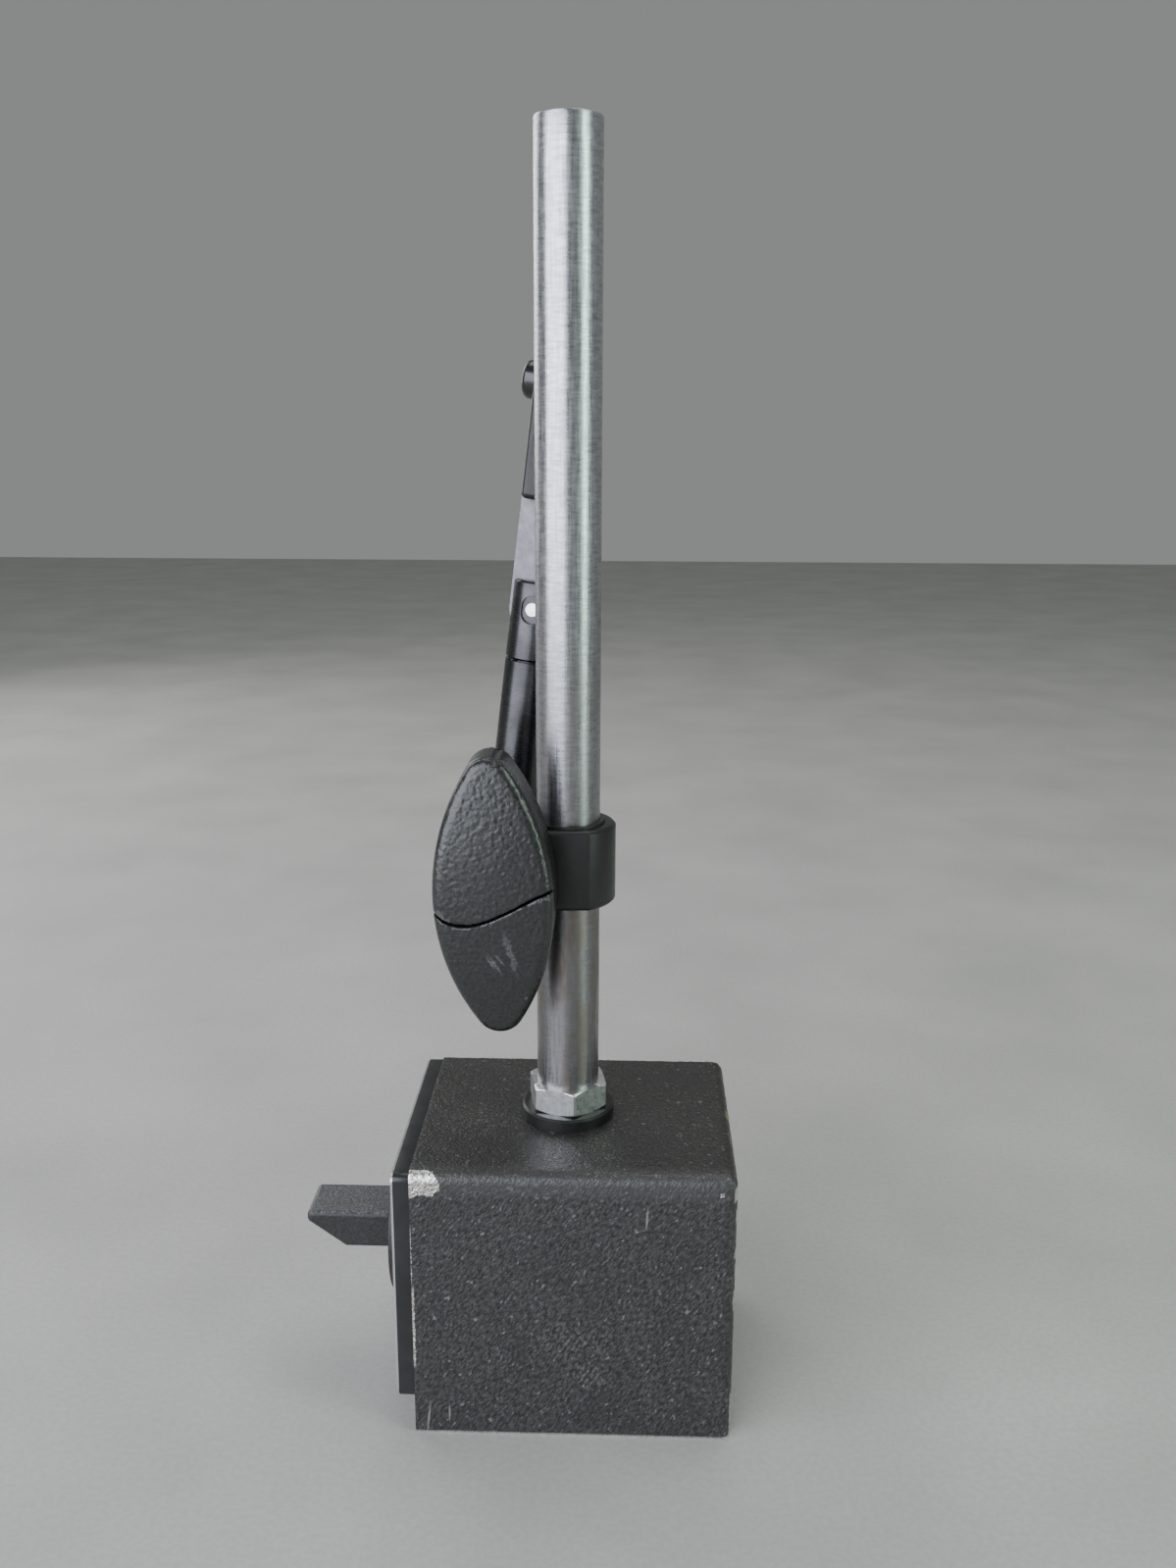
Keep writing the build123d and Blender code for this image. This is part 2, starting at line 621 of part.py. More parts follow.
with BuildPart() as thrust_ball:
    with Locations(on_arm(BALL_AT)):
        Sphere(BALL_R)
keep(thrust_ball, "thrust_ball")

# Fork: turns on the tube's neck, and is slotted for the link
with BuildPart() as swivel_fork:
    ring(on_arm(FORK_START), FORK_END - FORK_START, TUBE_R)
    chamfer(swivel_fork.edges().filter_by(GeomType.CIRCLE), FORK_EDGE)
    drill(on_arm(FORK_START), FORK_FLOOR - FORK_START, NECK_R + RUNNING)
    drill(on_arm(FORK_START), FORK_SLOT_START - FORK_START, BALL_HOLE_R)
    with BuildSketch(head_side(FORK_SLOT / 2)):
        with Locations((0, FORK_SLOT_START)):
            Rectangle(3 * TUBE_R, FORK_END, align=(Align.CENTER, Align.MIN))
    extrude(amount=FORK_SLOT, mode=Mode.SUBTRACT)
    drill(head_side(TUBE_R), 2 * TUBE_R, PIN_R, [(0, PIN_AT)])
    for y in (-RECESS_FLOOR, TUBE_R):
        with BuildSketch(head_side(y)):
            with Locations((0, PIN_AT)):
                SlotOverall(RECESS_LENGTH, RECESS_WIDTH, rotation=90)
        extrude(amount=TUBE_R - RECESS_FLOOR, mode=Mode.SUBTRACT)
    drill(head_side(TUBE_R), TUBE_R - NECK_R, KEEPER_R, [(0, KEEPER_AT)])
keep(swivel_fork, "swivel_fork")

with BuildPart() as fork_keeper:
    with Locations(head_side(TUBE_R - FORK_EDGE)):
        with Locations((0, KEEPER_AT)):
            Cylinder(KEEPER_R, TUBE_R - FORK_EDGE - KEEPER_INNER, align=ON_TOP)
keep(fork_keeper, "fork_keeper")

with BuildPart() as joint_pin:
    with Locations(head_side(0)):
        with Locations((0, PIN_AT)):
            Cylinder(PIN_R, PIN_LENGTH)
keep(joint_pin, "joint_pin")

# Link: a flat bar with a round end on the pin, riveted into the gauge clamp
with BuildPart() as tilt_link:
    with BuildSketch(head_side(LINK / 2)):
        with Locations((0, PIN_AT)):
            Circle(LINK_WIDTH / 2)
            Rectangle(LINK_WIDTH, LINK_END - PIN_AT, align=(Align.CENTER, Align.MIN))
            Circle(PIN_R + RUNNING, mode=Mode.SUBTRACT)
        with Locations((0, LINK_RIVET_AT)):
            with GridLocations(LINK_RIVET_PITCH, 0, 2, 1):
                Circle(LINK_RIVET_R, mode=Mode.SUBTRACT)
    extrude(amount=LINK)
keep(tilt_link, "tilt_link")

# Gauge clamp: a split block with the bore for a gauge's stem
with BuildPart() as gauge_clamp:
    with BuildSketch(head_side(CLAMP_THICKNESS / 2)):
        with Locations((CLAMP_MIDDLE, CLAMP_START)):
            clamp_size = (CLAMP_RIGHT - CLAMP_LEFT, CLAMP_END - CLAMP_START)
            Rectangle(*clamp_size, align=(Align.CENTER, Align.MIN))
    extrude(amount=CLAMP_THICKNESS)
    fillet(gauge_clamp.edges(), CLAMP_CORNER)
    with BuildSketch(head_side(LINK / 2)):
        with Locations((CLAMP_MIDDLE, 0)):
            Rectangle(2 * LINK_WIDTH, LINK_END, align=(Align.CENTER, Align.MIN))
    extrude(amount=LINK, mode=Mode.SUBTRACT)
    with BuildSketch(head_side(CLAMP_THICKNESS / 2)):
        with Locations((CLAMP_MIDDLE, GAUGE_BORE_AT)):
            Circle(GAUGE_BORE_R)
            Rectangle(GAUGE_SLIT, CLAMP_END, align=(Align.CENTER, Align.MIN))
        with Locations((0, LINK_RIVET_AT)):
            with GridLocations(LINK_RIVET_PITCH, 0, 2, 1):
                Circle(LINK_RIVET_R)
    extrude(amount=CLAMP_THICKNESS, mode=Mode.SUBTRACT)
    drill(head_edge(CLAMP_RIGHT, GAUGE_SCREW_AT), CLAMP_RIGHT - CLAMP_LEFT, GAUGE_SCREW_R + RUNNING)
keep(gauge_clamp, "gauge_clamp")

with BuildPart() as link_rivets:
    with Locations(head_side(0)):
        with Locations((0, LINK_RIVET_AT)):
            with GridLocations(LINK_RIVET_PITCH, 0, 2, 1):
                Cylinder(LINK_RIVET_R, CLAMP_THICKNESS)
keep(link_rivets, "link_rivets")

# Gauge screw: a domed socket screw that closes the clamp
with BuildPart() as gauge_screw:
    ring(head_edge(GAUGE_SCREW_TIP, GAUGE_SCREW_AT), GAUGE_SCREW_TIP - CLAMP_LEFT, GAUGE_SCREW_R)
    ring(head_edge(CLAMP_LEFT - SIDE_GAP, GAUGE_SCREW_AT), GAUGE_HEAD, GAUGE_HEAD_R)
    ring(head_edge(CLAMP_LEFT, GAUGE_SCREW_AT), SIDE_GAP, GAUGE_SCREW_R)
    outer_rim = gauge_screw.edges().filter_by(GeomType.CIRCLE).sort_by(Axis.X)[0]
    fillet(outer_rim, GAUGE_HEAD_EDGE)
    with BuildSketch(head_edge(CLAMP_LEFT - SIDE_GAP - GAUGE_HEAD + SOCKET_DEPTH, GAUGE_SCREW_AT)):
        RegularPolygon(SOCKET_ACROSS / 2, 6, major_radius=False)
    extrude(amount=SOCKET_DEPTH, mode=Mode.SUBTRACT)
keep(gauge_screw, "gauge_screw")
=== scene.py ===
import json
from math import cos, pi, radians, sin, tan

import bmesh
import bpy
from mathutils import Matrix, Vector, noise


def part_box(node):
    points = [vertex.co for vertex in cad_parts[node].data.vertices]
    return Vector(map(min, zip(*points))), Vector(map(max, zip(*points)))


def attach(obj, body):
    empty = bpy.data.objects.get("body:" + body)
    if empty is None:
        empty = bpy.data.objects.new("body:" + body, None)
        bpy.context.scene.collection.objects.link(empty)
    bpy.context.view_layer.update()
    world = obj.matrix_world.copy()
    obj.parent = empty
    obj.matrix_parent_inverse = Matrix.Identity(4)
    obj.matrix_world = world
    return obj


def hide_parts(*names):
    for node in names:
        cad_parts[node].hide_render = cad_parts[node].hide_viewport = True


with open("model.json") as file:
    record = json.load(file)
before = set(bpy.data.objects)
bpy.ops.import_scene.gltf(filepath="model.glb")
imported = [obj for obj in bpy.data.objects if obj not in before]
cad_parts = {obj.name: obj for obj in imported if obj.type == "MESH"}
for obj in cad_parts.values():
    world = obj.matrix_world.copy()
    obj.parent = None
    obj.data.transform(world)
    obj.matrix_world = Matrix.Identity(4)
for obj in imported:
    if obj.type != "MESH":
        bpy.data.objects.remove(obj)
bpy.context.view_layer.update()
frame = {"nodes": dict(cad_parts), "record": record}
nodes = frame["nodes"]
MM = 0.001

# ---------------------------------------------------------------------------
# Camera: at the photograph's viewing angle, a little above and in front
# ---------------------------------------------------------------------------
CAMERA_AT = Vector((0.00935, -0.24857, 0.18383))
CAMERA_PITCH = radians(13.93)
CAMERA_YAW = radians(-1.76)
CAMERA_ROLL = radians(0.23)
SENSOR = 36.0
LENS = 31.43


def make_camera():
    data = bpy.data.cameras.new("camera")
    data.sensor_width = SENSOR
    data.lens = LENS
    data.clip_start = 0.01
    camera = bpy.data.objects.new("camera", data)
    level = Matrix.Rotation(radians(90) - CAMERA_PITCH, 4, "X")
    turned = Matrix.Rotation(-CAMERA_YAW, 4, "Z") @ level @ Matrix.Rotation(CAMERA_ROLL, 4, "Z")
    camera.matrix_world = Matrix.Translation(CAMERA_AT) @ turned
    bpy.context.scene.collection.objects.link(camera)
    bpy.context.scene.camera = camera


# ---------------------------------------------------------------------------
# Materials: a small helper that builds node graphs in the object's coordinates
# ---------------------------------------------------------------------------
SCRATCH_WIDTH = 0.012
SCRATCH_LENGTH = 14.0
GRAIN_LEAN = radians(32)
ARM_LEAN = radians(7)


class Graph:
    """A node material whose textures follow the object's own frame, in millimetres."""

    def __init__(self, name, colour, rough, metal=0.0, specular=0.5):
        self.material = bpy.data.materials.new(name)
        self.material.use_nodes = True
        self.tree = self.material.node_tree
        self.shader = self.tree.nodes["Principled BSDF"]
        self.set("Base Color", self.rgb(colour))
        self.set("Roughness", rough)
        self.set("Metallic", metal)
        self.set("Specular IOR Level", specular)
        object_place = self.node("ShaderNodeTexCoord").outputs["Object"]
        self.place = self.vector("SCALE", {0: object_place, "Scale": 1 / MM})

    @staticmethod
    def rgb(colour):
        return (*colour, 1.0) if isinstance(colour, tuple) else colour

    def node(self, kind, inputs=None, **settings):
        made = self.tree.nodes.new(kind)
        for key, value in settings.items():
            setattr(made, key, value)
        for key, value in (inputs or {}).items():
            self.feed(made.inputs[key], value)
        return made

    def feed(self, socket, value):
        if isinstance(value, bpy.types.NodeSocket):
            self.tree.links.new(value, socket)
        else:
            socket.default_value = value

    def set(self, name, value):
        self.feed(self.shader.inputs[name], value)

    def stretch(self, scale, turn=(0, 0, 0), shift=(0, 0, 0), place=None):
        """Coordinates moved back by the shift, turned back, then scaled along each axis."""
        inputs = {0: place or self.place, 1: shift, 2: turn}
        moved = self.node("ShaderNodeMapping", inputs, vector_type="TEXTURE").outputs[0]
        return self.vector("MULTIPLY", {0: moved, 1: scale})

    def vector(self, operation, inputs):
        return self.node("ShaderNodeVectorMath", inputs, operation=operation).outputs[0]

    def noise(self, size, detail=2.0, rough=0.5, place=None):
        """Noise from 0 to 1 whose features are about the given size in millimetres."""
        inputs = {0: place or self.place, "Scale": 1 / size, "Detail": detail, "Roughness": rough}
        return self.node("ShaderNodeTexNoise", inputs).outputs[0]

    def cells(self, size):
        """Distance from the nearest of many scattered points."""
        made = self.node("ShaderNodeTexVoronoi", {0: self.place, "Scale": 1 / size}, feature="F1")
        return made.outputs["Distance"]

    def ramp(self, value, low, high, to_low=0.0, to_high=1.0):
        """The value's way from low to high, held at both ends."""
        made = self.node("ShaderNodeMapRange", {0: value, 1: low, 2: high, 3: to_low, 4: to_high})
        return made.outputs[0]

    def sum(self, operation, a, b):
        return self.node("ShaderNodeMath", {0: a, 1: b}, operation=operation).outputs[0]

    def mix(self, factor, a, b):
        made = self.node("ShaderNodeMix", {0: factor, 6: self.rgb(a), 7: self.rgb(b)}, data_type="RGBA")
        return made.outputs[2]

    def split(self, vector):
        return self.node("ShaderNodeSeparateXYZ", {0: vector}).outputs

    def ragged(self, amount, size):
        """The place pushed about by noise, so that a mask drawn on it has a torn edge."""
        made = self.node("ShaderNodeTexNoise", {0: self.place, "Scale": 1 / size, "Detail": 3.0})
        centred = self.vector("SUBTRACT", {0: made.outputs[1], 1: (0.5, 0.5, 0.5)})
        pushed = self.vector("SCALE", {0: centred, "Scale": 2 * amount})
        return self.vector("ADD", {0: self.place, 1: pushed})

    def patch(self, centre, half, place=None, soft=0.1, box=True, turn=(0, 0, 0)):
        """A mask that is 1 inside a box, or an ellipsoid, of the given half size."""
        sizes = tuple(1 / h for h in half)
        near = self.stretch(sizes, turn=turn, shift=centre, place=place)
        if box:
            x, y, z = self.split(self.vector("ABSOLUTE", {0: near}))
            far = self.sum("MAXIMUM", self.sum("MAXIMUM", x, y), z)
        else:
            far = self.node("ShaderNodeVectorMath", {0: near}, operation="LENGTH").outputs["Value"]
        return self.ramp(far, 1 + soft, 1 - soft)

    def any_of(self, masks):
        """A mask that is the greatest of the given ones."""
        total = masks[0]
        for mask in masks[1:]:
            total = self.sum("MAXIMUM", total, mask)
        return total

    def facing(self, axis):
        """How much the surface faces along an axis, from -1 to 1."""
        normal = self.node("ShaderNodeTexCoord").outputs["Normal"]
        return self.split(normal)[axis]

    def bump(self, height, depth, strength=1.0, below=None):
        """Relief of the given depth in millimetres, on top of any relief below it."""
        inputs = {"Height": height, "Strength": strength, "Distance": depth * MM}
        if below:
            inputs["Normal"] = below
        made = self.node("ShaderNodeBump", inputs).outputs[0]
        self.set("Normal", made)
        return made

    def scratches(self, size, turn):
        """Thin lines along one direction, broken up into short runs."""
        along = self.stretch((1 / SCRATCH_LENGTH, 1, 1), turn=turn)
        lines = self.noise(size, 1.0, 0.5, along)
        off_line = self.sum("ABSOLUTE", self.sum("SUBTRACT", lines, 0.5), 0.0)
        thin = self.ramp(off_line, SCRATCH_WIDTH, 0.0)
        return self.sum("MULTIPLY", thin, self.ramp(self.noise(size * 6, 1.0), 0.52, 0.66))


def corners(name):
    """A node's lowest and highest corners at rest, in millimetres."""
    low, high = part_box(name)
    return Vector(low) / MM, Vector(high) / MM


FRONT_LOW, FRONT_HIGH = corners("front_pole")
REAR_LOW, REAR_HIGH = corners("rear_pole")
BLOCK_LOW = Vector([min(a, b) for a, b in zip(FRONT_LOW, REAR_LOW)])
BLOCK_HIGH = Vector([max(a, b) for a, b in zip(FRONT_HIGH, REAR_HIGH)])
POST_LOW, POST_HIGH = corners("post")
POST_X = (POST_LOW.x + POST_HIGH.x) / 2
POST_R = (POST_HIGH.x - POST_LOW.x) / 2


def hammered_paint():
    """Charcoal paint with a coarse hammered grain, chipped to bare steel at the corners."""
    g = Graph("hammered_paint", (0.03, 0.03, 0.031), 0.42, specular=0.5)
    left, front, top = BLOCK_LOW.x, BLOCK_LOW.y, BLOCK_HIGH.z
    right = BLOCK_HIGH.x
    slant = g.stretch((1.0, 1.0, 0.5), turn=(0, GRAIN_LEAN, 0))
    grain = g.noise(0.5, 2.0, 0.6, slant)
    fine = g.noise(0.3, 2.0)
    broad = g.noise(9.0, 2.0)
    # Painted shade: the same paint gets a darker, browner tone where it faces up, and the sides are the
    # lighter lit copy.
    top_shade_mask = g.ramp(g.facing(2), 0.55, 0.8)
    side = g.mix(g.ramp(grain, 0.36, 0.70), (0.012, 0.0115, 0.012), (0.066, 0.063, 0.065))
    above = g.mix(g.ramp(grain, 0.36, 0.70), (0.010, 0.0092, 0.0085), (0.040, 0.037, 0.034))
    paint = g.mix(top_shade_mask, side, above)
    paint = g.mix(g.ramp(broad, 0.35, 0.7, 0.0, 0.35), paint, (0.016, 0.016, 0.017))
    # Painted highlight: pale specks along the grain stand in for glints of light off the hammered
    # bumps.
    glint_specks = g.ramp(g.sum("MULTIPLY", g.noise(0.5, 1.0, 0.5, slant), g.noise(1.9)), 0.385, 0.45)
    paint = g.mix(g.sum("MULTIPLY", glint_specks, 0.45), paint, (0.24, 0.24, 0.25))
    # Painted highlight: a lighter band along the rounded front-top edge, where the fillet catches the
    # light.
    edge_highlight_band = g.patch((left + 30, front + 0.4, top - 2.0), (40, 2.5, 2.2), None, 0.5)
    paint = g.mix(g.sum("MULTIPLY", edge_highlight_band, 0.45), paint, (0.066, 0.064, 0.066))
    scuff_place = g.ragged(3.0, 2.5)
    scuffs = g.any_of([
        g.patch((left + 31, front, top - 34), (6.5, 3, 3.2), scuff_place, 0.6, False),
        g.patch((left + 33, front, top - 41), (3.5, 3, 3.0), scuff_place, 0.6, False),
        g.patch((left + 12, front + 21, top), (7, 5, 2), scuff_place, 0.6, False),
    ])
    worn_grain = g.ramp(grain, 0.48, 0.64)
    scuffed = g.sum("MULTIPLY", g.sum("MULTIPLY", scuffs, worn_grain), 0.30)
    paint = g.mix(scuffed, paint, (0.17, 0.165, 0.155))
    marks = g.any_of([
        g.patch((left + 43.6, front, top - 8.2), (0.20, 2, 1.9), None, 0.5, False, (0, radians(3), 0)),
        g.patch((left + 6.6, front, 4.6), (0.16, 2, 1.6), None, 0.5, False),
        g.patch((left + 2.6, front, 3.4), (0.2, 2, 2.8), None, 0.5, False, (0, radians(6), 0)),
    ])
    paint = g.mix(g.sum("MULTIPLY", marks, 0.5), paint, (0.30, 0.30, 0.29))
    torn = g.ragged(1.6, 2.2)
    fine_torn = g.ragged(0.3, 0.6)
    chips = g.any_of([
        g.patch((left + 0.8, front - 0.3, top - 2.0), (4.9, 2.0, 2.7), torn, 0.05, False),
        g.patch((left, front, 38), (0.12, 0.4, 5), fine_torn, 0.3),
        g.patch((left, front, 23), (0.4, 0.6, 7.5), fine_torn, 0.2),
        g.patch((right - 0.1, front + 1.5, top - 3.6), (0.45, 1.4, 1.3), fine_torn, 0.2),
        g.patch((right, front + 1.6, top - 8), (0.15, 1.0, 1.0), fine_torn, 0.2),
        g.patch((right, front + 1.6, top - 16), (0.25, 1.0, 0.7), fine_torn, 0.2),
        g.patch((right, front + 1.6, top - 25.5), (0.22, 1.0, 1.9), fine_torn, 0.2),
        g.patch((right, front + 1.8, 4.6), (0.25, 1.1, 4.6), fine_torn, 0.2),
        g.patch((right - 2.8, front + 0.2, top - 3.2), (0.35, 0.8, 0.4), fine_torn, 0.2),
        g.patch((right - 0.1, front + 16, top - 0.4), (0.3, 1.2, 0.4), fine_torn, 0.2),
    ])
    brass = g.patch((right - 0.1, 0.8, top - 0.5), (0.5, 1.7, 0.5), fine_torn, 0.2)
    under = g.ramp(g.facing(2), -0.25, -0.55)
    bare = g.any_of([chips, under])
    rusty = g.ramp(g.noise(0.5, 3.0), 0.42, 0.62)
    bare_colour = g.mix(rusty, (0.86, 0.86, 0.87), (0.40, 0.34, 0.28))
    coloured = g.mix(bare, paint, bare_colour)
    g.set("Base Color", g.mix(brass, coloured, (0.50, 0.37, 0.18)))
    metal = g.any_of([bare, brass])
    g.set("Metallic", metal)
    rough = g.ramp(fine, 0.3, 0.7, 0.27, 0.42)
    g.set("Roughness", g.ramp(metal, 0.0, 1.0, rough, 0.30))
    first = g.bump(grain, 0.26, 0.9)
    second = g.bump(fine, 0.08, 0.6, first)
    g.bump(g.sum("SUBTRACT", 1.0, metal), 0.12, 0.8, second)
    return g.material


def satin_black(name, colour=(0.006, 0.0065, 0.0063), rough=(0.30, 0.42), dust=0.05):
    """Black oxide or smooth paint, with rubbed patches and fine scratches."""
    g = Graph(name, colour, rough[0], specular=0.5)
    cloud = g.ramp(g.noise(6.0, 3.0), 0.35, 0.7)
    scratch = g.any_of([g.scratches(0.5, (0, 0.4, 0.3)), g.scratches(0.6, (0.9, 0, 0.8))])
    shaded = g.mix(cloud, colour, tuple(c * 1.45 + 0.002 for c in colour))
    g.set("Base Color", g.mix(g.sum("MULTIPLY", scratch, dust), shaded, (0.5, 0.5, 0.5)))
    g.set("Roughness", g.ramp(g.noise(2.2, 3.0), 0.3, 0.7, *rough))
    g.bump(g.noise(0.35, 3.0), 0.02, 0.5)
    return g.material


def zinc():
    """Bright zinc on a nut and screws: clean flats with small pits and smudges."""
    g = Graph("bright_zinc", (0.80, 0.80, 0.80), 0.24, metal=1.0)
    smudge = g.ramp(g.noise(2.4, 3.0), 0.42, 0.68)
    pits = g.ramp(g.cells(3.1), 0.10, 0.05)
    colour = g.mix(smudge, (0.82, 0.825, 0.84), (0.74, 0.745, 0.75))
    g.set("Base Color", g.mix(g.sum("MULTIPLY", pits, 0.25), colour, (0.35, 0.35, 0.35)))
    g.set("Roughness", g.ramp(g.noise(1.1, 3.0), 0.3, 0.7, 0.24, 0.36))
    g.bump(g.noise(1.6, 2.0), 0.004, 0.4)
    return g.material


def ground_steel():
    """The post: ground steel with rings of fine grain and long streaks, darker with brown patches low
    down as a painted reflection.
    """
    g = Graph("ground_steel", (0.80, 0.81, 0.83), 0.16, metal=1.0)
    centred = (POST_X, 0, 0)
    rings = g.stretch((0.5, 0.5, 6.0), shift=centred)
    fine = g.noise(0.9, 3.0, 0.65, rings)
    coarse = g.noise(1.6, 3.0, 0.6, g.stretch((0.6, 0.6, 2.6), shift=centred))
    cloud = g.noise(7.0, 3.0, 0.6, g.stretch((1.3, 1.3, 0.4), shift=centred))
    height = g.split(g.place)[2]
    # Painted reflection: low down the colour is darkened and given brown patches, standing in for the
    # dark block and the floor mirrored there.
    low_dark_reflection = g.ramp(height, 170, 90)
    blotches = g.noise(5.0, 4.0, 0.6, g.stretch((1.5, 1.5, 0.35), shift=centred))
    brown_reflection_patches = g.sum("MULTIPLY", g.ramp(blotches, 0.47, 0.64), low_dark_reflection)
    colour = g.mix(g.ramp(coarse, 0.35, 0.7), (0.60, 0.61, 0.66), (0.38, 0.39, 0.42))
    colour = g.mix(g.sum("MULTIPLY", low_dark_reflection, 0.85), colour, (0.20, 0.195, 0.20))
    colour = g.mix(g.sum("MULTIPLY", brown_reflection_patches, 0.6), colour, (0.20, 0.15, 0.12))
    g.set("Base Color", colour)
    streaks = g.noise(0.55, 4.0, 0.6, g.stretch((1.6, 1.6, 0.07), shift=centred))
    gloss = g.sum("ADD", g.ramp(fine, 0.3, 0.75, 0.18, 0.34), g.ramp(streaks, 0.42, 0.62, 0.0, 0.16))
    dulled = g.any_of([brown_reflection_patches, g.ramp(cloud, 0.5, 0.8, 0.0, 0.5)])
    g.set("Roughness", g.sum("ADD", gloss, g.sum("MULTIPLY", dulled, 0.14)))
    g.set("Anisotropic", 0.6)
    g.set("Anisotropic Rotation", 0.25)
    around = g.node("ShaderNodeTangent", direction_type="RADIAL", axis="Z")
    g.set("Tangent", around.outputs[0])
    first = g.bump(fine, 0.022, 0.9)
    g.bump(coarse, 0.02, 0.8, first)
    return g.material


def leather_plastic(name, gloss, depth):
    """Moulded black plastic with a leather grain and pale scratches, most of them low down."""
    g = Graph(name, (0.009, 0.009, 0.010), gloss[0], specular=0.75)
    low, high = corners("lock_knob")
    grain = g.noise(0.55, 2.0, 0.55)
    fine = g.noise(0.2, 2.0)
    shade = g.mix(g.ramp(grain, 0.35, 0.68), (0.006, 0.006, 0.0065), (0.013, 0.013, 0.014))
    middle = (low + high) / 2
    rub = g.ragged(1.2, 1.6)

    def scrape(right, up, half_wide, half_tall, degrees=0, place=None, soft=0.4):
        centre = (middle.x + right, low.y, middle.z + up)
        turn = (0, radians(degrees), 0)
        return g.patch(centre, (half_wide, 4, half_tall), place, soft, False, turn)

    scraped = g.any_of([
        scrape(3.2, -9.5, 0.5, 3.6, -14, rub, 0.5),
        scrape(0.4, -11.6, 0.28, 1.7, -32),
        scrape(-0.5, -11.2, 0.22, 1.3, -32),
        scrape(1.2, -10.7, 0.2, 1.2, -38),
        scrape(5.8, -18.3, 0.3, 0.3),
        scrape(-8.6, -3.2, 2.0, 0.4, 30, rub),
        scrape(9.0, 0.6, 1.7, 0.3, -19, rub),
    ])
    strokes = g.scratches(0.5, (0, radians(62), 0))
    worn = g.any_of([scraped, g.sum("MULTIPLY", strokes, 0.5)])
    pale = g.sum("MULTIPLY", worn, g.ramp(fine, 0.35, 0.6))
    g.set("Base Color", g.mix(g.sum("MULTIPLY", pale, 0.35), shade, (0.26, 0.26, 0.27)))
    g.set("Roughness", g.ramp(grain, 0.3, 0.7, *gloss))
    first = g.bump(grain, depth, 0.8)
    g.bump(fine, depth * 0.4, 0.6, first)
    return g.material


def grip_plastic():
    """The switch's grip: dark grey cast surface with an even fine grain, painted lighter on top as if
    lit from above.
    """
    g = Graph("grip_grain", (0.055, 0.056, 0.058), 0.42, specular=0.5)
    grain = g.noise(0.42, 2.0, 0.6)
    # Painted light: the upward faces get a lighter copy of the grain and the sides a darker, shaded
    # one.
    side = g.mix(g.ramp(grain, 0.34, 0.7), (0.016, 0.0155, 0.016), (0.036, 0.035, 0.036))
    above = g.mix(g.ramp(grain, 0.40, 0.64), (0.028, 0.028, 0.030), (0.13, 0.13, 0.138))
    g.set("Base Color", g.mix(g.ramp(g.facing(2), 0.55, 0.8), side, above))
    g.set("Roughness", g.ramp(grain, 0.3, 0.7, 0.36, 0.55))
    g.bump(grain, 0.10, 0.8)
    return g.material


def dark_nickel():
    """The arm's tube and ferrule: glossy dark plating with fine rings."""
    g = Graph("dark_nickel", (0.1, 0.102, 0.105), 0.2, metal=1.0)
    rings = g.noise(0.5, 3.0, 0.6, g.stretch((0.4, 0.4, 5.0), turn=(0, ARM_LEAN, 0)))
    smudge = g.noise(4.0, 3.0)
    g.set("Base Color", g.mix(g.ramp(smudge, 0.35, 0.7), (0.085, 0.086, 0.09), (0.055, 0.055, 0.058)))
    g.set("Roughness", g.ramp(rings, 0.3, 0.7, 0.20, 0.34))
    g.bump(rings, 0.008, 0.6)
    return g.material


def satin_steel():
    """The link: satin grey sheet, brushed along its length."""
    g = Graph("satin_link", (0.372, 0.372, 0.397), 0.42, metal=1.0)
    brushed = g.noise(0.4, 3.0, 0.6, g.stretch((5.0, 5.0, 0.5), turn=(0, ARM_LEAN, 0)))
    g.set("Base Color", g.mix(g.ramp(brushed, 0.3, 0.7), (0.17, 0.17, 0.185), (0.215, 0.215, 0.23)))
    g.set("Roughness", g.ramp(g.noise(1.2, 3.0), 0.3, 0.7, 0.38, 0.52))
    g.bump(brushed, 0.008, 0.6)
    return g.material


def plain_metal(name, colour, rough=(0.22, 0.36), grain=(1.0, 1.0, 1.0)):
    """Other metals: brass, bronze, iron and pins, told apart by colour and grain."""
    g = Graph(name, colour, rough[0], metal=1.0)
    texture = g.noise(0.5, 3.0, 0.6, g.stretch(grain))
    darker = tuple(0.72 * c for c in colour)
    g.set("Base Color", g.mix(g.ramp(texture, 0.35, 0.7), colour, darker))
    g.set("Roughness", g.ramp(g.noise(1.5, 3.0), 0.3, 0.7, *rough))
    g.bump(texture, 0.01, 0.6)
    return g.material


def plain_dull(name, colour, rough=(0.5, 0.65)):
    """Ceramic and smooth plastic: a matt surface with a fine mottle."""
    g = Graph(name, colour, rough[0])
    texture = g.noise(0.6, 3.0)
    g.set("Base Color", g.mix(g.ramp(texture, 0.35, 0.7), colour, tuple(1.5 * c for c in colour)))
    g.set("Roughness", g.ramp(texture, 0.3, 0.7, *rough))
    g.bump(texture, 0.015, 0.5)
    return g.material


